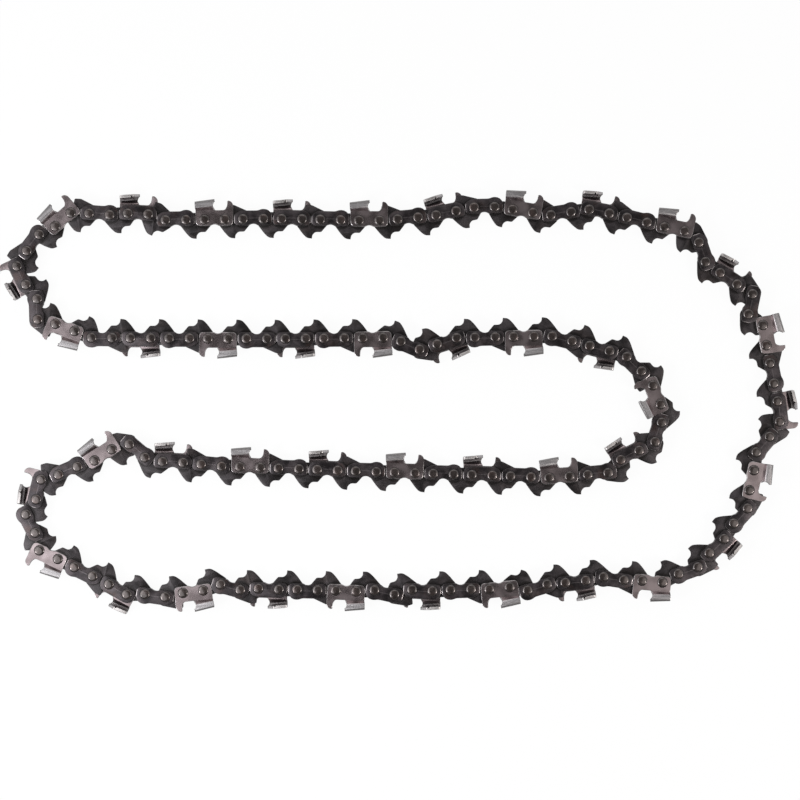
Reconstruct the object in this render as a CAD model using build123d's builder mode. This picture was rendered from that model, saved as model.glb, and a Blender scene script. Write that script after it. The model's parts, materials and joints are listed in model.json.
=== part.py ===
from build123d import *
import cmath
import math
import os

# Chain sizes in millimetres: a 3/8 inch saw chain with a cutter on every second side link
pitch = 9.525  # half the distance over three rivets
cutter_pairs = 21  # repeats of tie link, right cutter, tie link, left cutter
side_rivet_gap = 10.09  # between the two rivets of a side link
drive_thickness = 1.5  # the gauge, which runs in the bar's groove
plate_thickness = 1.5
side_play = 0.05  # between a drive link and the plates beside it
kerf_width = 8.4  # over the outer faces of right and left cutters

# Side plates, measured from the rivet nearest to each point
plate_end_gap = 0.3  # between neighbouring plates on a straight run
plate_corner = 2.2  # how far the corners stand beyond the rivets
tie_top = 4.7  # over the rivets of a tie strap
tie_corner = 1.5  # how far its upper corners stand beyond the rivets
strap_top = 4.2  # straps beside cutters, and the waist of tie straps
plate_bottom = 3.2
waist_bottom = 2.3
plate_nose = 0.5  # height of the outermost point of a rounded end

# Drive links, measured from the rear rivet unless named otherwise
drive_end_gap = 2.7  # between neighbouring drive links on a straight run
drive_top = 3.4
heel_height = -2.0
tang_depth = 9.4
tang_heel = (1.7, 1.0)  # along the link, and up from the tip
tang_tip = 4.9
hook_depth = 2.1  # height of the hook's inner corner above the tip
hook_reach = 5.4
shoulder_depth = 6.1
shoulder_start = 6.9
shoulder_past_rivet = 0.5  # its front end, past the front rivet
toe_height = -2.4
bumper_height = 7.1
bumper_rear = 1.4  # its level top runs from here
bumper_peak = 4.5  # to here, where the ramp starts
bumper_foot = 0.8
ramp_foot = 4.0  # height of the ramp's front end

# Cutters, measured from the rear rivet, with the depth gauge measured from the front rivet
gullet_floor = 4.5  # the tooth wall bends outward above this height
gullet_front = -0.5
fold_end = 6.0
tooth_front = 5.3
tooth_rear = 4.6
cutter_rear_inset = 0.83  # by how much the plate's rear, below the tooth, stops short of a strap's
tooth_foot = 4.4  # front of the tooth where it meets the gullet
tooth_height = 10.0
tooth_drop = 1.2  # fall of the top plate from the cutting corner to its rear
top_plate_thickness = 1.3
top_plate_reach = 2.0  # past the middle of the chain
top_plate_angle = 30.0  # sweep of the cutting edge, seen from above the tooth
tooth_corner = 0.8
depth_gauge_height = 9.3
depth_gauge_tip = 2.1
depth_gauge_back = 1.0
depth_gauge_inset = 0.3  # its front, behind the nose of the plate
depth_gauge_front_height = 7.5
depth_gauge_root = 5.9  # height of the gullet's end below the depth gauge

# Rivets
rivet_head_radius = 2.7
rivet_head_height = 0.7
rivet_head_sides = 5

# Where the loop lies, in pitches from its middle: rivets along it, numbered in travel order.
# Each run starts at the rivet that it pivots on, and the last entry closes the loop.
lay = {
    "upper_left_bend": {
        0: (-14.89, 3.09), 1: (-16.06, 3.19), 4: (-18.48, 4.06), 5: (-18.75, 5.07), 6: (-19.27, 5.8),
        7: (-19.75, 6.81), 8: (-19.33, 7.49), 9: (-18.59, 8.5), 10: (-17.75, 8.87), 11: (-16.95, 9.56),
    },
    "top_run": {
        13: (-14.95, 9.46), 14: (-14.2, 9.51), 15: (-12.94, 9.46), 16: (-12.2, 9.18), 22: (-6.08, 9.25),
        27: (-1.01, 9.13), 30: (1.95, 9.4), 32: (3.9, 9.88), 33: (4.96, 9.88),
    },
    "right_bend": {
        36: (7.82, 9.4), 38: (9.82, 9.77), 43: (14.79, 8.55), 44: (15.42, 8.03), 45: (15.84, 7.02),
        46: (16.58, 6.44), 48: (18.22, 5.33), 49: (18.06, 4.33), 50: (18.75, 3.75), 54: (19.54, -0.21),
        55: (19.65, -1.27), 57: (18.48, -2.91), 60: (17.91, -5.65), 62: (16.69, -7.34), 64: (15.42, -8.66),
        66: (13.57, -9.51), 69: (10.4, -9.35), 71: (8.56, -9.57),
    },
    "bottom_run": {73: (6.6, -9.82), 80: (-0.31, -10.03)},
    "lower_left_bend": {
        88: (-8.12, -9.87), 89: (-9.15, -9.78), 92: (-12.09, -10.24), 94: (-14.1, -10.09),
        98: (-17.64, -8.34), 99: (-18.54, -7.87), 101: (-19.16, -5.98), 102: (-18.82, -5.3),
        103: (-18.38, -4.28), 106: (-15.79, -3.22), 107: (-14.89, -2.75), 108: (-14.04, -2.54),
        109: (-13.08, -3.05), 110: (-12.25, -3.27),
    },
    "third_run": {113: (-9.18, -3.54), 120: (-2.27, -3.8)},
    "inner_bend": {
        128: (5.75, -4.06), 130: (7.74, -4.15), 133: (10.82, -3.9), 134: (11.41, -3.22),
        136: (13.28, -2.29), 137: (13.57, -1.27), 138: (13.52, -0.37), 139: (13.14, 0.63),
        140: (12.53, 1.34), 141: (11.81, 2.16),
    },
    "second_run": {
        145: (7.87, 3.19), 150: (2.96, 3.09), 152: (1.01, 2.45), 153: (-0.03, 2.94), 154: (-0.9, 3.09),
        160: (-6.86, 3.04), 168: (-14.89, 3.09),
    },
}
settled = 0.0001  # largest error left in a gap between rivets

drive_rivet_gap = 2 * pitch - side_rivet_gap
plate_reach = (drive_rivet_gap - plate_end_gap) / 2
drive_reach = (side_rivet_gap - drive_end_gap) / 2
plate_inner = drive_thickness / 2 + side_play
plate_outer = plate_inner + plate_thickness
wall_outer = kerf_width / 2
plate_middle = side_rivet_gap / 2
plate_front = side_rivet_gap + plate_reach
corner_front = side_rivet_gap + plate_corner

# Outlines below the rivets: straps are drawn in at the waist, cutters have a straight foot
plate_foot = [(-plate_corner, -plate_bottom), (corner_front, -plate_bottom), (plate_front, plate_nose)]
strap_foot = [(-plate_reach, plate_nose), plate_foot[0], (plate_middle, -waist_bottom), *plate_foot[1:]]

with BuildPart() as tie_straps:
    waist = [(side_rivet_gap + tie_corner, tie_top), (plate_middle, strap_top), (-tie_corner, tie_top)]
    for base in (plate_inner, -plate_outer):
        with BuildSketch(Plane.XY.offset(base)):
            Polygon(*strap_foot, *waist, align=None)
        extrude(amount=plate_thickness)

with BuildPart() as far_strap:
    with BuildSketch(Plane.XY.offset(-plate_outer)):
        Polygon(*strap_foot, (corner_front, strap_top), (-plate_corner, strap_top), align=None)
    extrude(amount=plate_thickness)

with BuildPart() as near_strap:
    add(far_strap.part)
    mirror(about=Plane.XY, mode=Mode.REPLACE)

# Tang outline shared by both kinds of drive link, from the heel round the hook to the toe
drive_front = drive_rivet_gap + drive_reach
tang = [
    (-drive_reach, heel_height),
    (tang_heel[0], tang_heel[1] - tang_depth),
    (tang_tip, -tang_depth),
    (hook_reach, hook_depth - tang_depth),
    (shoulder_start, -shoulder_depth),
    (drive_rivet_gap + shoulder_past_rivet, -shoulder_depth),
    (drive_front, toe_height),
]
drive_crown_front = (drive_rivet_gap + plate_corner, drive_top)
drive_crown_rear = (-plate_corner, drive_top)

with BuildPart() as plain_drive_link:
    with BuildSketch():
        Polygon(*tang, drive_crown_front, drive_crown_rear, align=None)
    extrude(amount=drive_thickness / 2, both=True)

with BuildPart() as bumper_drive_link:
    with BuildSketch():
        bumper = [
            (drive_rivet_gap + plate_corner, ramp_foot),
            (bumper_peak, bumper_height),
            (bumper_rear, bumper_height),
            (bumper_foot, drive_top),
        ]
        Polygon(*tang, *bumper, drive_crown_rear, align=None)
    extrude(amount=drive_thickness / 2, both=True)

with BuildPart() as right_cutter:
    # Tooth wall, folded outward above the plate
    with BuildSketch(Plane.YZ.offset(-tooth_rear)):
        wall_inner = wall_outer - plate_thickness
        wall_section = [
            (gullet_floor, plate_inner),
            (gullet_floor, plate_outer),
            (fold_end, wall_outer),
            (tooth_height, wall_outer),
            (tooth_height, wall_inner),
            (fold_end, wall_inner),
        ]
        Polygon(*wall_section, align=None)
    extrude(amount=tooth_rear + tooth_front)
    # Side view of the tooth, which falls away behind the cutting corner
    rear_height = tooth_height - tooth_drop
    with BuildSketch():
        tooth_side = [
            (-tooth_rear, gullet_floor),
            (tooth_front, gullet_floor),
            (tooth_front, tooth_height),
            (-tooth_rear, rear_height),
        ]
        Polygon(*tooth_side, align=None)
    extrude(amount=kerf_width, mode=Mode.INTERSECT)
    # Top plate across the chain
    with BuildSketch(Plane.XY.offset(-top_plate_reach)):
        top_plate = [
            (-tooth_rear, rear_height - top_plate_thickness),
            (tooth_front, tooth_height - top_plate_thickness),
            (tooth_front, tooth_height),
            (-tooth_rear, rear_height),
        ]
        Polygon(*top_plate, align=None)
    extrude(amount=top_plate_reach + wall_outer)
    corner_edge = right_cutter.edges().sort_by(lambda edge: edge.center().Y + edge.center().Z)[-1]
    chamfer(corner_edge, tooth_corner)
    # Filed front, hooked forward to the cutting corner and swept back across the chain
    cutting_corner = Vector(tooth_front, tooth_height, wall_outer)
    front_edge = cutting_corner - Vector(tooth_foot, gullet_floor, wall_outer)
    cutting_edge = Vector(math.tan(math.radians(top_plate_angle)), 0, 1)
    split(bisect_by=Plane(cutting_corner, z_dir=cutting_edge.cross(front_edge)))
    # Plate with the gullet and the depth gauge
    with BuildSketch(Plane.XY.offset(plate_inner)):
        gauge_and_gullet = [
            (plate_front - depth_gauge_inset, depth_gauge_front_height),
            (side_rivet_gap + depth_gauge_tip, depth_gauge_height),
            (side_rivet_gap + depth_gauge_back, depth_gauge_root),
            (side_rivet_gap + gullet_front, gullet_floor),
            (-tooth_rear, gullet_floor),
            (-tooth_rear, plate_nose),
        ]
        Polygon(*plate_foot, *gauge_and_gullet, align=None)
    extrude(amount=plate_thickness)
    # Rear edge, one slope from the overhanging tooth down to the nose of the plate
    cutter_rear = plate_reach - cutter_rear_inset
    rear_slope = Vector(rear_height - plate_nose, tooth_rear - cutter_rear, 0)
    split(bisect_by=Plane((-cutter_rear, plate_nose, 0), z_dir=rear_slope))

with BuildPart() as left_cutter:
    add(right_cutter.part)
    mirror(about=Plane.XY, mode=Mode.REPLACE)

with BuildPart() as rivet_heads:
    for side in (1, -1):
        with BuildSketch(Plane.XY.offset(side * plate_outer)) as head_base:
            RegularPolygon(rivet_head_radius, rivet_head_sides)
        peak = Vertex(0, 0, side * (plate_outer + rivet_head_height))
        loft([head_base.sketch.face(), peak], ruled=True)

# Rivets between those of the lay start evenly spread, then every gap settles to its true length
rivet_count = 8 * cutter_pairs
lay_points = {number: complex(*point) * pitch for run in lay.values() for number, point in run.items()}
lay_numbers = sorted(lay_points)
spread = rivet_count / lay_numbers[-1]
rivets = []
for number in range(rivet_count):
    read = number / spread
    before = max(known for known in lay_numbers if known <= read)
    after = min(known for known in lay_numbers if known > read)
    share = (read - before) / (after - before)
    rivets.append((lay_points[before] * (1 - share) + lay_points[after] * share) * spread)

gaps = [side_rivet_gap, drive_rivet_gap] * (rivet_count // 2)
worst = pitch
while worst > settled:
    worst = 0
    for number, gap in enumerate(gaps):
        ahead = (number + 1) % rivet_count
        link = rivets[ahead] - rivets[number]
        excess = abs(link) - gap
        worst = max(worst, abs(excess))
        shift = link / abs(link) * excess / 2
        rivets[number] += shift
        rivets[ahead] -= shift

# A link lies between each rivet and the next, side links and drive links in turn
kinds = ("tie", "plain", "right", "bumper", "tie", "plain", "left", "bumper")
rivet_places = [Location((rivet.real, rivet.imag, 0)) for rivet in rivets]
link_places = []
for number, rivet in enumerate(rivets):
    heading = cmath.phase(rivets[(number + 1) % rivet_count] - rivet)
    link_places.append(Location((rivet.real, rivet.imag, 0), (0, 0, math.degrees(heading))))


def places_of(run_links, *wanted):
    return [link_places[number] for number in run_links if kinds[number % len(kinds)] in wanted]


hinges = [round(min(run) * spread) for run in lay.values()] + [rivet_count]
nodes = {}
for name, first, last in zip(lay, hinges, hinges[1:]):
    run_links = range(first, last)
    with BuildPart() as plain_links:
        with Locations(*places_of(run_links, "plain")):
            add(plain_drive_link.part)
    with BuildPart() as bumper_links:
        with Locations(*places_of(run_links, "bumper")):
            add(bumper_drive_link.part)
    with BuildPart() as right_cutters:
        with Locations(*places_of(run_links, "right")):
            add(right_cutter.part)
    with BuildPart() as left_cutters:
        with Locations(*places_of(run_links, "left")):
            add(left_cutter.part)
    with BuildPart() as ties:
        with Locations(*places_of(run_links, "tie")):
            add(tie_straps.part)
    with BuildPart() as cutter_straps:
        with Locations(*places_of(run_links, "right")):
            add(far_strap.part)
        with Locations(*places_of(run_links, "left")):
            add(near_strap.part)
    with BuildPart() as heads:
        side_links = [number for number in run_links if number % 2 == 0]
        ends = [end % rivet_count for number in side_links for end in (number, number + 1)]
        with Locations(*(rivet_places[end] for end in ends)):
            add(rivet_heads.part)
    nodes[f"{name}_plain_drive_links"] = plain_links
    nodes[f"{name}_bumper_drive_links"] = bumper_links
    nodes[f"{name}_right_cutters"] = right_cutters
    nodes[f"{name}_left_cutters"] = left_cutters
    nodes[f"{name}_tie_straps"] = ties
    nodes[f"{name}_cutter_straps"] = cutter_straps
    nodes[f"{name}_rivet_heads"] = heads

# The loop lies on its left cutters, with its box centred on the origin
loop_box = Compound([node.part for node in nodes.values()]).bounding_box()
home = Location((-loop_box.center().X, -loop_box.center().Y, -loop_box.min.Z))
os.makedirs("parts", exist_ok=True)
for name, node in nodes.items():
    node.part.move(home)
    node.part.label = name
    export_step(node.part, f"parts/{name}.step")
print("rivets", rivet_count, "loop", loop_box.size)
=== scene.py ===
import bpy
import json
import math
from mathutils import Matrix, Vector


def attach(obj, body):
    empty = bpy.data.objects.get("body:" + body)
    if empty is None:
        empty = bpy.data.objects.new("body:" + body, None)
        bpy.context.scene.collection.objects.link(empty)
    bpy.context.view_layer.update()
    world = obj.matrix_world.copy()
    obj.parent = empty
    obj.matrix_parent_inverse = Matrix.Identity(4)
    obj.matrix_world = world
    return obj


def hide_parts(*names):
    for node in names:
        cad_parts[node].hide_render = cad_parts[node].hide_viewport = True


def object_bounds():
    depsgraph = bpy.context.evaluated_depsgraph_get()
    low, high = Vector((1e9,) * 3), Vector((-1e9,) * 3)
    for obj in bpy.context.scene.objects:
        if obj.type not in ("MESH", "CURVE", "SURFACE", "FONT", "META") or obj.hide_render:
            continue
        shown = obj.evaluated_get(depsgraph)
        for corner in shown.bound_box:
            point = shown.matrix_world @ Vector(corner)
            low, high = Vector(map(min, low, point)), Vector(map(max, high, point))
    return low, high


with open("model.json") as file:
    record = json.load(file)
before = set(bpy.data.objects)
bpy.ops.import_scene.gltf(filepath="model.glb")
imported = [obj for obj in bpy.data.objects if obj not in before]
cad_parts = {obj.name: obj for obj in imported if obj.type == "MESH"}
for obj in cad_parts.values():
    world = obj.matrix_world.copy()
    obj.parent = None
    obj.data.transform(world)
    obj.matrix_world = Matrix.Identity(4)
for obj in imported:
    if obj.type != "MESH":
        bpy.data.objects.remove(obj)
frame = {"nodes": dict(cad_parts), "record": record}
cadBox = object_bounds()
scene = bpy.context.scene
scene.view_settings.view_transform = "Standard"
millimetre = 0.001
chainMiddle = (cadBox[0][2] + cadBox[1][2]) / 2  # height of the drive links' middle
print("frame loaded:", len(frame["nodes"]), "nodes")


# where the links are

linkSettings = {
    "sideGap": 0.01009,  # between the rivets of a strap or cutter
    "driveGap": 0.00896,  # between the rivets of a drive link
    "slack": 0.00006,  # how far off a gap may be
    "cornerDigits": 6,  # corners that agree this far are one corner
    "rivetDigits": 5,  # plates whose rear rivets agree this far lie in one link
}


def islandsOf(nodeName):
    # the corners of each separate solid in a node
    mesh = frame["nodes"][nodeName].data
    digits = linkSettings["cornerDigits"]
    places = [tuple(round(c, digits) for c in vertex.co) for vertex in mesh.vertices]
    leader = {place: place for place in places}

    def follow(place):
        while leader[place] != place:
            leader[place] = leader[leader[place]]
            place = leader[place]
        return place

    for face in mesh.polygons:
        first = follow(places[face.vertices[0]])
        for index in face.vertices[1:]:
            leader[follow(places[index])] = first
    islands = {}
    for place in leader:
        islands.setdefault(follow(place), []).append(Vector(place))
    return list(islands.values())


def headPeaks(nodeName):
    # the corner of each rivet head that is furthest from the chain's middle
    return [max(corners, key=lambda p: abs(p.z - chainMiddle)) for corners in islandsOf(nodeName)]


headNodes = [name for name in frame["nodes"] if name.endswith("rivet_heads")]
rivets = [peak.xy for name in headNodes for peak in headPeaks(name) if peak.z > chainMiddle]


def rivetPairs(gap):
    pairs = []
    for number, first in enumerate(rivets):
        for second in rivets[number + 1:]:
            if abs((first - second).length - gap) < linkSettings["slack"]:
                pairs.append((first, second))
    return pairs


pairsOf = {"side": rivetPairs(linkSettings["sideGap"]), "drive": rivetPairs(linkSettings["driveGap"])}
print("rivets:", len(rivets), "side links:", len(pairsOf["side"]), "drive links:", len(pairsOf["drive"]))


def standAt(place, angle):
    # from a model in millimetres round its own rivet to that rivet's place in the chain
    spot = Matrix.Translation((place.x, place.y, chainMiddle))
    return spot @ Matrix.Rotation(angle, 4, "Z") @ Matrix.Scale(millimetre, 4)


def linkFrames(nodeName, family):
    # where each link of a node stands, and whether it lies on the near side
    frames = {}
    for corners in islandsOf(nodeName):
        middle = sum((c.xy for c in corners), Vector((0, 0))) / len(corners)
        first, second = min(pairsOf[family], key=lambda p: ((p[0] + p[1]) / 2 - middle).length)
        along = (second - first).normalized()
        outward = Vector((-along.y, along.x))
        heights = [(c.xy - first).dot(outward) for c in corners]
        lean = max(heights) + min(heights)  # straps and cutters stand outward, tangs hang inward
        if (lean < 0) == (family == "side"):
            outward = -outward
        heading = Vector((outward.y, -outward.x))
        rear = min((first, second), key=lambda r: r.dot(heading))
        onNearSide = sum(c.z for c in corners) / len(corners) > chainMiddle
        # the two straps of a tie link share one place, which is kept once
        place = tuple(round(c, linkSettings["rivetDigits"]) for c in rear)
        frames[place] = (standAt(rear, math.atan2(heading.y, heading.x)), onNearSide)
    return list(frames.values())


# finishes

class Wire:
    # a socket in a node tree, with maths on its value
    def __init__(self, tree, socket=None):
        self.tree = tree
        self.socket = socket

    def add(self, kind, settings, inputs, output=0):
        node = self.tree.nodes.new(kind)
        for key, value in settings.items():
            setattr(node, key, value)
        for key, value in inputs.items():
            if isinstance(value, Wire):
                self.tree.links.new(value.socket, node.inputs[key])
            else:
                node.inputs[key].default_value = value
        return Wire(self.tree, node.outputs[output] if node.outputs else None)

    def maths(self, operation, first, second):
        return self.add("ShaderNodeMath", {"operation": operation}, {0: first, 1: second})

    def __add__(self, other):
        return self.maths("ADD", self, other)

    def __radd__(self, other):
        return self.maths("ADD", other, self)

    def __sub__(self, other):
        return self.maths("SUBTRACT", self, other)

    def __rsub__(self, other):
        return self.maths("SUBTRACT", other, self)

    def __mul__(self, other):
        return self.maths("MULTIPLY", self, other)

    def __rmul__(self, other):
        return self.maths("MULTIPLY", other, self)

    def between(self, low, high):
        return self.add(
            "ShaderNodeMapRange",
            {"interpolation_type": "SMOOTHSTEP"},
            {"Value": self, "From Min": low, "From Max": high},
        )

    def within(self, rise, full, fall, end):
        return self.between(rise, full) * (1 - self.between(fall, end))

    def blend(self, first, second):
        # the node's colour sockets share their names with others, so they go by number
        return self.add("ShaderNodeMix", {"data_type": "RGBA"}, {0: self, 6: first, 7: second}, 2)


def newFinish(name):
    material = bpy.data.materials.new(name)
    material.use_nodes = True
    material.node_tree.nodes.clear()
    return material, Wire(material.node_tree)


def closeFinish(wire, inputs):
    shader = wire.add("ShaderNodeBsdfPrincipled", {}, inputs)
    wire.add("ShaderNodeOutputMaterial", {}, {"Surface": shader})


def noiseOf(wire, place, scale, detail=3.0, rough=0.55):
    inputs = {"Vector": place, "Scale": scale, "Detail": detail, "Roughness": rough}
    return wire.add("ShaderNodeTexNoise", {}, inputs)


def onBlank(wire):
    # where a point lay on its flat blank, in millimetres from the model's own origin
    return wire.add("ShaderNodeAttribute", {"attribute_name": "blank"}, {}, "Vector")


def alongBlank(wire, axis):
    return wire.add("ShaderNodeSeparateXYZ", {}, {0: onBlank(wire)}, axis)


def reachFrom(wire, centre):
    ends = {0: onBlank(wire), 1: centre}
    return wire.add("ShaderNodeVectorMath", {"operation": "DISTANCE"}, ends, "Value")


# dark steels: noise scales are per metre, places are on the blank

steelSettings = {
    "patchRange": (0.3, 0.7),
    "stainRange": (0.5, 0.72), "stainDetail": 5.0,
    "grainScale": 2600, "grainDetail": 2.0, "grainDull": 0.08, "grainDepth": 0.0001,
}
driveLook = {
    "dark": (0.025, 0.022, 0.023, 1), "light": (0.062, 0.054, 0.057, 1), "patchScale": 170,
    "stain": (0.054, 0.040, 0.037, 1), "stainAmount": 0.5, "stainScale": 95,
    # the dark ring round each rivet is painted shade beside the strap ends
    "grime": (0.018, 0.015, 0.015, 1), "ring": (4.1, 5.2), "ringCentres": [(0, 0, 0.75), (8.96, 0, 0.75)],
    "roughness": (0.32, 0.46), "metallic": 0.75, "bump": 0.25, "oil": 0.15, "oilRoughness": 0.25,
}
strapLook = {
    "dark": (0.028, 0.024, 0.026, 1), "light": (0.074, 0.062, 0.066, 1), "patchScale": 210,
    "stain": (0.085, 0.052, 0.044, 1), "stainAmount": 0.5, "stainScale": 120,
    "line": (0.16, 0.14, 0.145, 1), "lineAmount": 0.6,
    "lineAlong": (2.2, 3.2, 6.9, 7.9), "lineUp": (0.15, 0.4, 0.5, 0.75),
    "roughness": (0.26, 0.40), "metallic": 0.8, "bump": 0.2, "oil": 0.2, "oilRoughness": 0.25,
}
rivetLook = {
    "dark": (0.045, 0.035, 0.032, 1), "light": (0.090, 0.070, 0.065, 1), "patchScale": 330,
    "stain": (0.105, 0.068, 0.060, 1), "stainAmount": 0.6, "stainScale": 160,
    # the dark rim at the foot of each head is painted shade
    "grime": (0.022, 0.018, 0.017, 1), "rim": (2.05, 2.4), "rimCentre": (0, 0, 2.6),
    "roughness": (0.15, 0.22), "metallic": 0.68, "bump": 0.05, "oil": 1.0, "oilRoughness": 0.15,
}


def darkSteel(name, look):
    shared = steelSettings
    material, wire = newFinish(name)
    place = wire.add("ShaderNodeTexCoord", {}, {}, "Object")
    patches = noiseOf(wire, place, look["patchScale"]).between(*shared["patchRange"])
    stain = noiseOf(wire, place, look["stainScale"], shared["stainDetail"]).between(*shared["stainRange"])
    grain = noiseOf(wire, place, shared["grainScale"], shared["grainDetail"])
    tone = patches.blend(look["dark"], look["light"])
    tone = (stain * look["stainAmount"]).blend(tone, look["stain"])
    if "ring" in look:  # painted shade round the strap ends, where the straps turn on the link
        for centre in look["ringCentres"]:
            tone = reachFrom(wire, centre).between(*look["ring"]).blend(look["grime"], tone)
    if "rim" in look:  # and painted shade round the foot of a rivet head, which also dims its reflections there
        tone = reachFrom(wire, look["rimCentre"]).between(*look["rim"]).blend(tone, look["grime"])
    if "line" in look:  # a drawn line along the waist of each strap
        waist = alongBlank(wire, "X").within(*look["lineAlong"])
        line = alongBlank(wire, "Y").within(*look["lineUp"])
        tone = (waist * line * look["lineAmount"]).blend(tone, look["line"])
    low, high = look["roughness"]
    dull = low + (high - low) * patches + grain * shared["grainDull"]
    relief = {"Height": grain, "Strength": look["bump"], "Distance": shared["grainDepth"]}
    closeFinish(wire, {
        "Base Color": tone, "Roughness": dull, "Metallic": look["metallic"],
        "Normal": wire.add("ShaderNodeBump", {}, relief),
        "Coat Weight": look["oil"], "Coat Roughness": look["oilRoughness"],
    })
    return material


# edges rubbed bright in places

wearSettings = {"detail": 4.0, "rough": 0.65, "dull": 0.42, "polish": 0.14}
edgeLook = {
    "dark": (0.055, 0.050, 0.051, 1), "bright": (0.46, 0.42, 0.42, 1), "metallic": 0.9,
    "wearScale": 260, "wearRange": (0.36, 0.56), "middle": (-4.1, -3.9, 13.99, 14.19),
}
driveEdgeLook = {
    "dark": (0.030, 0.027, 0.028, 1), "bright": (0.12, 0.11, 0.112, 1), "metallic": 0.85,
    "wearScale": 260, "wearRange": (0.45, 0.7),
}
filedLook = {
    "dark": (0.10, 0.094, 0.092, 1), "bright": (0.30, 0.28, 0.28, 1), "metallic": 0.95,
    "wearScale": 300, "wearRange": (0.35, 0.6),
}


def wornEdge(name, look):
    shared = wearSettings
    material, wire = newFinish(name)
    place = wire.add("ShaderNodeTexCoord", {}, {}, "Object")
    wear = noiseOf(wire, place, look["wearScale"], shared["detail"], shared["rough"])
    wear = wear.between(*look["wearRange"])
    if "middle" in look:  # only the straight ends of a strap rub bright
        wear = wear * (1 - alongBlank(wire, "X").within(*look["middle"]))
    tone = wear.blend(look["dark"], look["bright"])
    dull = shared["dull"] - wear * shared["polish"]
    closeFinish(wire, {"Base Color": tone, "Roughness": dull, "Metallic": look["metallic"]})
    return material


# cutters: satin plating, ground on the flared face of the tooth

cutterLook = {
    "body": (0.225, 0.186, 0.188, 1), "bodyLight": (0.37, 0.31, 0.315, 1),
    "patchScale": 150, "patchDetail": 1.0, "patchRange": (0.3, 0.7),
    "toothEnd": (5.8, 6.4),  # only what lies behind this is tooth
    "ground": (0.46, 0.44, 0.445, 1), "groundUp": (7.35, 7.7),  # where the flared face starts
    "groundLine": (0.32, 0.305, 0.31, 1), "lineStretch": (0.05, 3.2, 1.0),
    "lineScale": 1.0, "lineDetail": 2.0, "lineRough": 0.7, "lineRange": (0.35, 0.65),
    "lineBump": 0.12, "lineDepth": 0.0001,
    "rim": (0.22, 0.21, 0.21, 1), "rimUp": (9.5, 9.85, 10.25, 10.95),  # painted shade at the fold of the top plate
    "crown": (0.54, 0.51, 0.50, 1), "crownUp": (14.6, 14.9),  # the filed end of the top plate
    # inside the tooth: unground darker steel with painted shade, lighter at its borders and in one
    # painted lit band
    "hollow": (0.125, 0.108, 0.112, 1), "litInside": (0.225, 0.208, 0.207, 1), "innerFace": (1.0, 1.3),
    "hollowAlong": (-3.6, -3.1, 2.9, 3.4), "hollowUp": (6.1, 6.4), "bandUp": (7.75, 7.95, 8.5, 8.7),
    "roughness": (0.24, 0.32), "groundDull": 0.14, "lineDull": 0.06, "hollowDull": 0.1, "metallic": 0.95,
}


def satinChrome(name, look):
    material, wire = newFinish(name)
    place = wire.add("ShaderNodeTexCoord", {}, {}, "Object")
    along, height, depth = [alongBlank(wire, axis) for axis in "XYZ"]
    patches = noiseOf(wire, place, look["patchScale"], look["patchDetail"]).between(*look["patchRange"])
    # grinding marks along the tooth
    stretched = wire.add("ShaderNodeMapping", {}, {"Vector": onBlank(wire), "Scale": look["lineStretch"]})
    lines = noiseOf(wire, stretched, look["lineScale"], look["lineDetail"], look["lineRough"])
    lines = lines.between(*look["lineRange"])
    tooth = 1 - along.between(*look["toothEnd"])
    ground = tooth * height.between(*look["groundUp"])
    body = patches.blend(look["body"], look["bodyLight"])
    face = lines.blend(look["ground"], look["groundLine"])
    # the fold of the top plate gets a band of painted shade
    face = height.within(*look["rimUp"]).blend(face, look["rim"])
    tone = ground.blend(body, face)
    # inside, the tooth is unground and darker, with painted shade in the hollow under the top plate; its
    # borders and one painted lit band keep a lighter tone
    inside = tooth * height.between(*look["hollowUp"]) * (1 - depth.between(*look["innerFace"]))
    hollow = along.within(*look["hollowAlong"]) * (1 - height.within(*look["bandUp"]))
    tone = inside.blend(tone, hollow.blend(look["litInside"], look["hollow"]))
    tone = (tooth * height.between(*look["crownUp"])).blend(tone, look["crown"])
    low, high = look["roughness"]
    dull = low + (high - low) * patches + ground * look["groundDull"]
    dull = dull + lines * ground * look["lineDull"] + inside * look["hollowDull"]
    relief = {"Height": lines * ground, "Strength": look["lineBump"], "Distance": look["lineDepth"]}
    closeFinish(wire, {
        "Base Color": tone, "Roughness": dull, "Metallic": look["metallic"],
        "Normal": wire.add("ShaderNodeBump", {}, relief),
    })
    return material


finishes = {
    "drive": darkSteel("oiledDriveSteel", driveLook),
    "strap": darkSteel("bluedStrapSteel", strapLook),
    "rivet": darkSteel("peenedRivetSteel", rivetLook),
    "edge": wornEdge("rubbedEdges", edgeLook),
    "driveEdge": wornEdge("darkEdges", driveEdgeLook),
    "cutter": satinChrome("satinCutterChrome", cutterLook),
    "filed": wornEdge("filedEdges", filedLook),
}
print("finishes made:", len(finishes))


# making plates, in millimetres

plateSettings = {
    "inner": 0.8, "outer": 2.3,  # faces of straps and cutter feet, from the middle of the chain
    "cornerSteps": 5, "edgeSteps": 2,
    "sharpAngle": 38,  # edges sharper than this are rounded
    "shadeAngle": 24,
    "edgeSlot": 1,  # the second finish of a plate is for its edges
    "near": 0.0001,  # corners are found by their place, this closely
}


def pickAlone(piece):
    bpy.ops.object.select_all(action="DESELECT")
    piece.select_set(True)
    bpy.context.view_layer.objects.active = piece


def pickVertices(piece, wanted):
    bpy.ops.object.mode_set(mode="EDIT")
    bpy.ops.mesh.select_mode(type="VERT")
    bpy.ops.mesh.select_all(action="DESELECT")
    bpy.ops.object.mode_set(mode="OBJECT")
    for vertex in piece.data.vertices:
        vertex.select = wanted(vertex.co)
    bpy.ops.object.mode_set(mode="EDIT")


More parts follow.
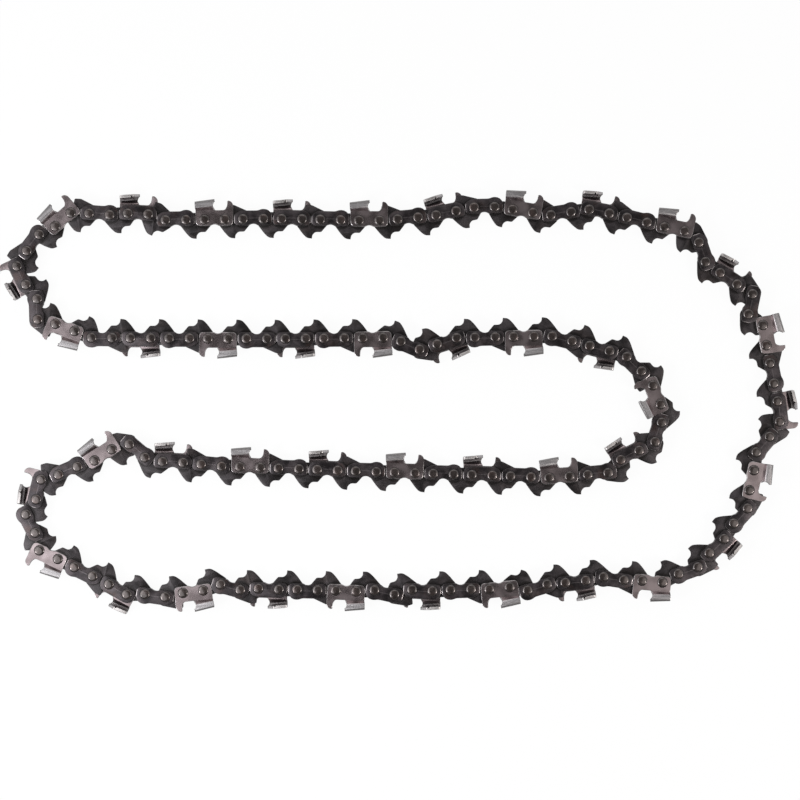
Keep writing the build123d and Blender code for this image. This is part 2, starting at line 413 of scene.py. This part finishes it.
def cutPlate(name, outline, low, high):
    # a flat blank with its corners rounded, raised to its thickness
    steps, near = plateSettings["cornerSteps"], plateSettings["near"]
    bpy.ops.object.select_all(action="DESELECT")
    bpy.ops.mesh.primitive_circle_add(vertices=len(outline), fill_type="NGON")
    plate = bpy.context.object
    plate.name = name
    for vertex, (x, y, cut) in zip(plate.data.vertices, outline):
        vertex.co = (x, y, low)
    for size in sorted({cut for x, y, cut in outline}):
        corners = [Vector((x, y, low)) for x, y, cut in outline if cut == size]
        pickVertices(plate, lambda co: any((co - corner).length < near for corner in corners))
        bpy.ops.mesh.bevel(offset=size, segments=steps, affect="VERTICES", clamp_overlap=False)
    bpy.ops.object.mode_set(mode="EDIT")
    bpy.ops.mesh.select_all(action="SELECT")
    bpy.ops.mesh.extrude_region_move(TRANSFORM_OT_translate={"value": (0, 0, high - low)})
    bpy.ops.mesh.select_all(action="SELECT")
    bpy.ops.mesh.normals_make_consistent(inside=False)
    bpy.ops.object.mode_set(mode="OBJECT")
    return plate


def cutEdges(piece, wanted, width, steps):
    slot = plateSettings["edgeSlot"]
    pickVertices(piece, wanted)
    bpy.ops.mesh.select_mode(type="EDGE")
    bpy.ops.mesh.bevel(offset=width, segments=steps, affect="EDGES", clamp_overlap=True, material=slot)
    bpy.ops.object.mode_set(mode="OBJECT")


def roundEdges(piece, width):
    pickAlone(piece)
    bevel = piece.modifiers.new("edges", "BEVEL")
    bevel.width = width
    bevel.segments = plateSettings["edgeSteps"]
    bevel.limit_method = "ANGLE"
    bevel.angle_limit = math.radians(plateSettings["sharpAngle"])
    bevel.use_clamp_overlap = False
    bevel.material = plateSettings["edgeSlot"]
    bpy.ops.object.modifier_apply(modifier=bevel.name)


def rememberBlank(piece):
    blank = piece.data.attributes.new("blank", "FLOAT_VECTOR", "POINT")
    for vertex, flat in zip(piece.data.vertices, blank.data):
        flat.vector = vertex.co


def giveFinishes(piece, *names):
    piece.data.materials.clear()
    for name in names:
        piece.data.materials.append(finishes[name])


def shadeByAngle(piece, degrees):
    pickAlone(piece)
    bpy.ops.object.shade_smooth_by_angle(angle=math.radians(degrees))


def flatPlate(name, outline, faces, edge, finishNames):
    plate = cutPlate(name, outline, *faces)
    giveFinishes(plate, *finishNames)
    roundEdges(plate, edge)
    rememberBlank(plate)
    shadeByAngle(plate, plateSettings["shadeAngle"])
    return plate


def joinPieces(name, pieces):
    pickAlone(pieces[0])
    for piece in pieces[1:]:
        piece.select_set(True)
    if len(pieces) > 1:
        bpy.ops.object.join()
    joined = bpy.context.object
    joined.name = name
    joined.data.name = name
    return joined


def otherHand(piece, name):
    # the same piece on the other side of the chain
    twin = piece.copy()
    twin.data = piece.data.copy()
    twin.name = name
    scene.collection.objects.link(twin)
    pickAlone(twin)
    twin.data.transform(Matrix.Scale(-1, 4, (0, 0, 1)))
    bpy.ops.object.mode_set(mode="EDIT")
    bpy.ops.mesh.select_all(action="SELECT")
    bpy.ops.mesh.flip_normals()
    bpy.ops.object.mode_set(mode="OBJECT")
    return twin


# straps and drive links: corners as x and y from the rear rivet, and how far each is cut back

strapSettings = {
    "foot": [
        (-4.3, -3.2, 2.0), (2.7, -3.2, 0.7), (4.1, -2.3, 0.7),
        (6.0, -2.3, 0.7), (7.4, -3.2, 0.7), (14.39, -3.2, 2.0),
    ],
    "plainBack": [(14.39, 4.2, 3.8), (-4.3, 4.2, 3.8)],
    "tieBack": [
        (14.39, 4.9, 3.9), (9.2, 4.9, 0.9), (7.5, 4.2, 0.8), (-1.3, 4.2, 0.8), (-4.3, 2.4, 1.2),
    ],
    "edge": 0.32,
}


def strapPlate(name, back):
    faces = (plateSettings["inner"], plateSettings["outer"])
    return flatPlate(name, strapSettings["foot"] + back, faces, strapSettings["edge"], ("strap", "edge"))


tieNear = strapPlate("tieNear", strapSettings["tieBack"])
tiePair = joinPieces("tiePair", [tieNear, otherHand(tieNear, "tieFar")])
strapNear = strapPlate("strapNear", strapSettings["plainBack"])
strapFar = otherHand(strapNear, "strapFar")

driveSettings = {
    "tang": [
        (-3.65, -1.8, 1.0), (0.5, -7.3, 1.5), (2.5, -9.15, 1.0), (5.0, -9.4, 0.12),
        (5.25, -7.6, 0.5), (6.6, -6.1, 0.9), (9.5, -6.1, 0.5), (12.62, -2.4, 0.8),
    ],
    "plainCrown": [(12.62, 3.4, 2.6), (-3.65, 3.4, 2.6)],
    "bumperCrown": [
        (12.62, 2.9, 0.8), (11.4, 4.0, 0.5), (4.5, 7.15, 0.6),
        (1.5, 7.1, 0.5), (0.8, 3.4, 0.6), (-3.65, 3.4, 2.6),
    ],
    "faces": (-0.75, 0.75),
    "edge": 0.16,
}


def drivePlate(name, crown):
    outline = driveSettings["tang"] + crown
    return flatPlate(name, outline, driveSettings["faces"], driveSettings["edge"], ("drive", "driveEdge"))


drivePlain = drivePlate("drivePlain", driveSettings["plainCrown"])
driveBumper = drivePlate("driveBumper", driveSettings["bumperCrown"])
print("straps and drive links made")


# cutter: a blank with its gullet filed out, folded like the real one

cutterSettings = {
    "blank": [
        (-4.2, -3.2, 1.9), (3.0, -3.2, 0.6), (4.3, -2.5, 0.6), (5.8, -2.5, 0.6), (7.1, -3.2, 0.6),
        (14.3, -3.2, 1.9), (14.35, 7.4, 0.7), (13.1, 9.05, 0.9), (11.6, 9.2, 0.5), (11.35, 6.3, 0.8),
        (10.2, 4.5, 0.8), (5.3, 4.5, 0.4), (4.5, 5.75, 0.5), (4.3, 7.93, 0.6), (5.3, 9.93, 0.04),
        (2.3, 15.23, 0.3), (-4.3, 15.23, 0.8), (-4.55, 9.53, 0.4), (-4.2, 5.0, 0.8),
    ],
    "filedWidth": 0.55, "filedSteps": 1,
    "filedAlong": (2.0, 11.9), "filedAbove": 4.4,
    "gaugeFrom": 11.3, "gaugeFiledAbove": 5.2,  # on the depth gauge the file starts higher
    "footWidth": 0.38, "footSteps": 2, "footBelow": 4.0,
    "skin": 0.01,  # corners this close to a face belong to it
    "edge": 0.14,
    # each bend: where it starts on the blank, its length, its angle and its steps
    "bends": [(4.6, 0.6, 45, 4), (7.2, 0.6, -45, 4), (9.68, 0.42, -90, 6)],
    "bendSlack": 0.001,  # corners on a bend line stay with what lies below it
    "toothFront": 6.2,  # only what lies behind this is folded
    "fall": 1.2, "fallFrom": 4.9, "fallFull": 7.0, "toothTip": 5.3, "toothLength": 9.9,
    "shadeAngle": 22,
}


def bendLines(bends):
    # each bend is a few lines across the blank, with a part of its angle at each
    lines = []
    for start, length, angle, steps in bends:
        for step in range(steps):
            lines.append((start + (step + 0.5) * length / steps, math.radians(angle / steps)))
    return lines


def scoreAcross(piece, lines):
    for y, angle in lines:
        bpy.ops.object.mode_set(mode="EDIT")
        bpy.ops.mesh.select_all(action="SELECT")
        bpy.ops.mesh.bisect(plane_co=(0, y, 0), plane_no=(0, 1, 0))
        bpy.ops.object.mode_set(mode="OBJECT")


def foldTooth(cutter, lines, form):
    middle = (plateSettings["inner"] + plateSettings["outer"]) / 2
    turned = Matrix.Identity(4)
    folds = []
    for y, angle in lines:
        pivot = turned @ Vector((0, y, middle))
        turn = Matrix.Translation(pivot) @ Matrix.Rotation(angle, 4, "X") @ Matrix.Translation(-pivot)
        turned = turn @ turned
        folds.append((y + form["bendSlack"], turned))
    for vertex in cutter.data.vertices:
        x, y, z = vertex.co
        if x > form["toothFront"]:
            continue
        passed = [fold for past, fold in folds if y > past]
        if passed:
            vertex.co = passed[-1] @ vertex.co
        # the top plate falls towards its rear, and the wall below it takes up the fall
        share = (vertex.co.y - form["fallFrom"]) / (form["fallFull"] - form["fallFrom"])
        drop = form["fall"] * (form["toothTip"] - x) / form["toothLength"]
        vertex.co.y -= drop * min(max(share, 0), 1)


def foldCutter(name, form):
    inner, outer = plateSettings["inner"], plateSettings["outer"]
    rear, front = form["filedAlong"]
    cutter = cutPlate(name, form["blank"], inner, outer)
    giveFinishes(cutter, "cutter", "filed")

    def isFiled(corner):
        lowest = form["gaugeFiledAbove"] if corner.x > form["gaugeFrom"] else form["filedAbove"]
        return corner.z < inner + form["skin"] and corner.y > lowest and rear < corner.x < front

    def isFoot(corner):
        return corner.z > outer - form["skin"] and corner.y < form["footBelow"]

    # the file leaves a slope on the inner side of the gullet and the cutting edges
    cutEdges(cutter, isFiled, form["filedWidth"], form["filedSteps"])
    # the punch leaves the foot with a wide rounded edge
    cutEdges(cutter, isFoot, form["footWidth"], form["footSteps"])
    roundEdges(cutter, form["edge"])
    lines = bendLines(form["bends"])
    scoreAcross(cutter, lines)
    rememberBlank(cutter)
    foldTooth(cutter, lines, form)
    shadeByAngle(cutter, form["shadeAngle"])
    return cutter


cutterRight = foldCutter("cutterRight", cutterSettings)
cutterLeft = otherHand(cutterRight, "cutterLeft")
print("cutters folded:", len(cutterRight.data.polygons), "faces each")


# rivet heads

headSettings = {
    "sides": 12, "radius": 2.7,
    "sunk": 0.1,  # how far its foot goes into the plate
    # each ring: its radius and its height over the plate, from the foot to the flat top
    "rings": [(2.63, 0.26), (2.36, 0.53), (1.92, 0.73), (1.2, 0.86)],
    "shadeAngle": 50,
    "turn": 2.4,  # from one head to the next, in radians
}


def peenHead(name, form):
    radius, height = form["radius"], -form["sunk"]
    foot = (0, 0, plateSettings["outer"] + height)
    bpy.ops.object.select_all(action="DESELECT")
    bpy.ops.mesh.primitive_circle_add(
        vertices=form["sides"], radius=radius, fill_type="NGON", location=foot
    )
    head = bpy.context.object
    head.name = name
    bpy.ops.object.transform_apply(location=True)
    bpy.ops.object.mode_set(mode="EDIT")
    bpy.ops.mesh.select_all(action="SELECT")
    for nextRadius, nextHeight in form["rings"]:
        bpy.ops.mesh.extrude_region_move(TRANSFORM_OT_translate={"value": (0, 0, nextHeight - height)})
        shrink = nextRadius / radius
        bpy.ops.transform.resize(value=(shrink, shrink, 1), center_override=(0, 0, 0))
        radius, height = nextRadius, nextHeight
    bpy.ops.mesh.select_all(action="SELECT")
    bpy.ops.mesh.normals_make_consistent(inside=False)
    bpy.ops.object.mode_set(mode="OBJECT")
    giveFinishes(head, "rivet")
    rememberBlank(head)
    shadeByAngle(head, form["shadeAngle"])
    return head


headNear = peenHead("headNear", headSettings)
headFar = otherHand(headNear, "headFar")
print("rivet head made:", len(headNear.data.polygons), "faces")


# laying the links out, one piece for each group of links

bodies = frame["record"]["behaviour"]["bodies"]
bodyOf = {node: body for body, members in bodies.items() for node in members}
# each kind: the rivets that it spans, its model on the near and on the far side, and its slot
kindSettings = {
    "plain_drive_links": ("drive", drivePlain, drivePlain, "drive_steel"),
    "bumper_drive_links": ("drive", driveBumper, driveBumper, "drive_steel"),
    "right_cutters": ("side", cutterRight, cutterRight, "cutter_chrome"),
    "left_cutters": ("side", cutterLeft, cutterLeft, "cutter_chrome"),
    "tie_straps": ("side", tiePair, tiePair, "strap_steel"),
    "cutter_straps": ("side", strapNear, strapFar, "strap_steel"),
}


def layOut(nodeName, models):
    copies = []
    for model, spot in models:
        copy = model.copy()
        copy.data = model.data.copy()
        copy.data.transform(spot)
        scene.collection.objects.link(copy)
        copies.append(copy)
    piece = joinPieces(nodeName + "_steel", copies)
    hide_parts(nodeName)
    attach(piece, bodyOf[nodeName])


for nodeName in list(frame["nodes"]):
    for kind, (family, near, far, slotName) in kindSettings.items():
        if nodeName.endswith("_" + kind):
            places = linkFrames(nodeName, family)
            models = [(near if onNearSide else far, spot) for spot, onNearSide in places]
            layOut(nodeName, models)

for nodeName in headNodes:
    models = []
    for number, peak in enumerate(headPeaks(nodeName)):
        head = headNear if peak.z > chainMiddle else headFar
        models.append((head, standAt(peak, number * headSettings["turn"])))
    layOut(nodeName, models)

patterns = (
    tiePair, strapNear, strapFar, drivePlain, driveBumper, cutterRight, cutterLeft, headNear, headFar,
)
for pattern in patterns:
    bpy.data.objects.remove(pattern)


# floor, light and camera

floorSettings = {
    "size": 16.0, "below": 0.0002,
    "paint": (0.9, 0.9, 0.9, 1), "white": (1, 1, 1, 1),
    "glow": 0.95,  # share of glow over paint where it is seen or mirrored
}
bpy.ops.object.select_all(action="DESELECT")
floorHeight = cadBox[0][2] - floorSettings["below"]
bpy.ops.mesh.primitive_plane_add(size=floorSettings["size"], location=(0, 0, floorHeight))
floor = bpy.context.object
floor.name = "floor"
paleFloor, wire = newFinish("paleFloor")
seenBy = wire.add("ShaderNodeLightPath", {}, {}, "Is Camera Ray")
for ray in ("Is Glossy Ray", "Is Transmission Ray"):
    seenBy = seenBy + wire.add("ShaderNodeLightPath", {}, {}, ray)
paint = wire.add("ShaderNodeBsdfDiffuse", {}, {"Color": floorSettings["paint"]})
glow = wire.add("ShaderNodeEmission", {}, {"Color": floorSettings["white"]})
mixed = wire.add("ShaderNodeMixShader", {}, {0: seenBy * floorSettings["glow"], 1: paint, 2: glow})
wire.add("ShaderNodeOutputMaterial", {}, {"Surface": mixed})
floor.data.materials.append(paleFloor)

skySettings = {
    "white": (1, 1, 1, 1),
    "dim": 0.22, "bright": 0.9, "brightAcross": (-0.75, 0.1),  # brighter towards +y
    "overhead": 0.14, "overheadUp": (0.45, 0.95),  # and darker straight above
}
studio = bpy.data.worlds.new("studio")
scene.world = studio
studio.use_nodes = True
studio.node_tree.nodes.clear()
wire = Wire(studio.node_tree)
around = wire.add("ShaderNodeTexCoord", {}, {}, "Generated")
across = wire.add("ShaderNodeSeparateXYZ", {}, {0: around}, "Y")
level = across.between(*skySettings["brightAcross"])
level = skySettings["dim"] + (skySettings["bright"] - skySettings["dim"]) * level
upward = wire.add("ShaderNodeSeparateXYZ", {}, {0: around}, "Z")
shade = upward.between(*skySettings["overheadUp"])
level = level * (1 - shade * (1 - skySettings["overhead"]))
sky = wire.add("ShaderNodeBackground", {}, {"Color": skySettings["white"], "Strength": level})
wire.add("ShaderNodeOutputWorld", {}, {"Surface": sky})

# each lamp: its place, what it faces, its size, its power in watts and its tint
lampSettings = {
    "lowLeft": ((-0.75, -0.38, 0.66), (0, 0, 0), 0.21, 3.1, (0.95, 0.97, 1.0)),
    "lowRight": ((0.76, -0.34, 0.66), (0, 0, 0), 0.20, 2.7, (1.0, 0.96, 0.93)),
    "top": ((0.0, 1.1, 1.0), (0, 0, 0), 0.9, 2.0, (1.0, 1.0, 1.0)),
    "nearLeft": ((-0.25, -0.13, 0.24), (-0.15, -0.078, 0), 0.28, 0.42, (0.97, 0.98, 1.0)),
    "left": ((-0.40, 0.05, 0.35), (0, 0, 0), 0.42, 0.75, (0.97, 0.98, 1.0)),
    "nearRight": ((0.28, -0.11, 0.26), (0.168, -0.066, 0), 0.28, 0.24, (1.0, 0.97, 0.94)),
}
for lampName, (place, aim, size, watts, tint) in lampSettings.items():
    bpy.ops.object.light_add(type="AREA", location=place)
    lamp = bpy.context.object
    lamp.name = lampName
    lamp.data.size = size
    lamp.data.energy = watts
    lamp.data.color = tint
    lamp.rotation_euler = (Vector(aim) - Vector(place)).to_track_quat("-Z", "Y").to_euler()

cameraSettings = {
    "middle": (0.00069, 0.00115), "distance": 2.0,
    "span": 0.3941,  # width that it sees at the height of the chain
    "sensor": 36, "clipEnd": 50,
}
bpy.ops.object.camera_add(location=(*cameraSettings["middle"], chainMiddle + cameraSettings["distance"]))
camera = bpy.context.object
camera.name = "photoCamera"
camera.data.sensor_width = cameraSettings["sensor"]
camera.data.lens = cameraSettings["sensor"] * cameraSettings["distance"] / cameraSettings["span"]
camera.data.clip_end = cameraSettings["clipEnd"]
scene.camera = camera
print("floor, light and camera set")
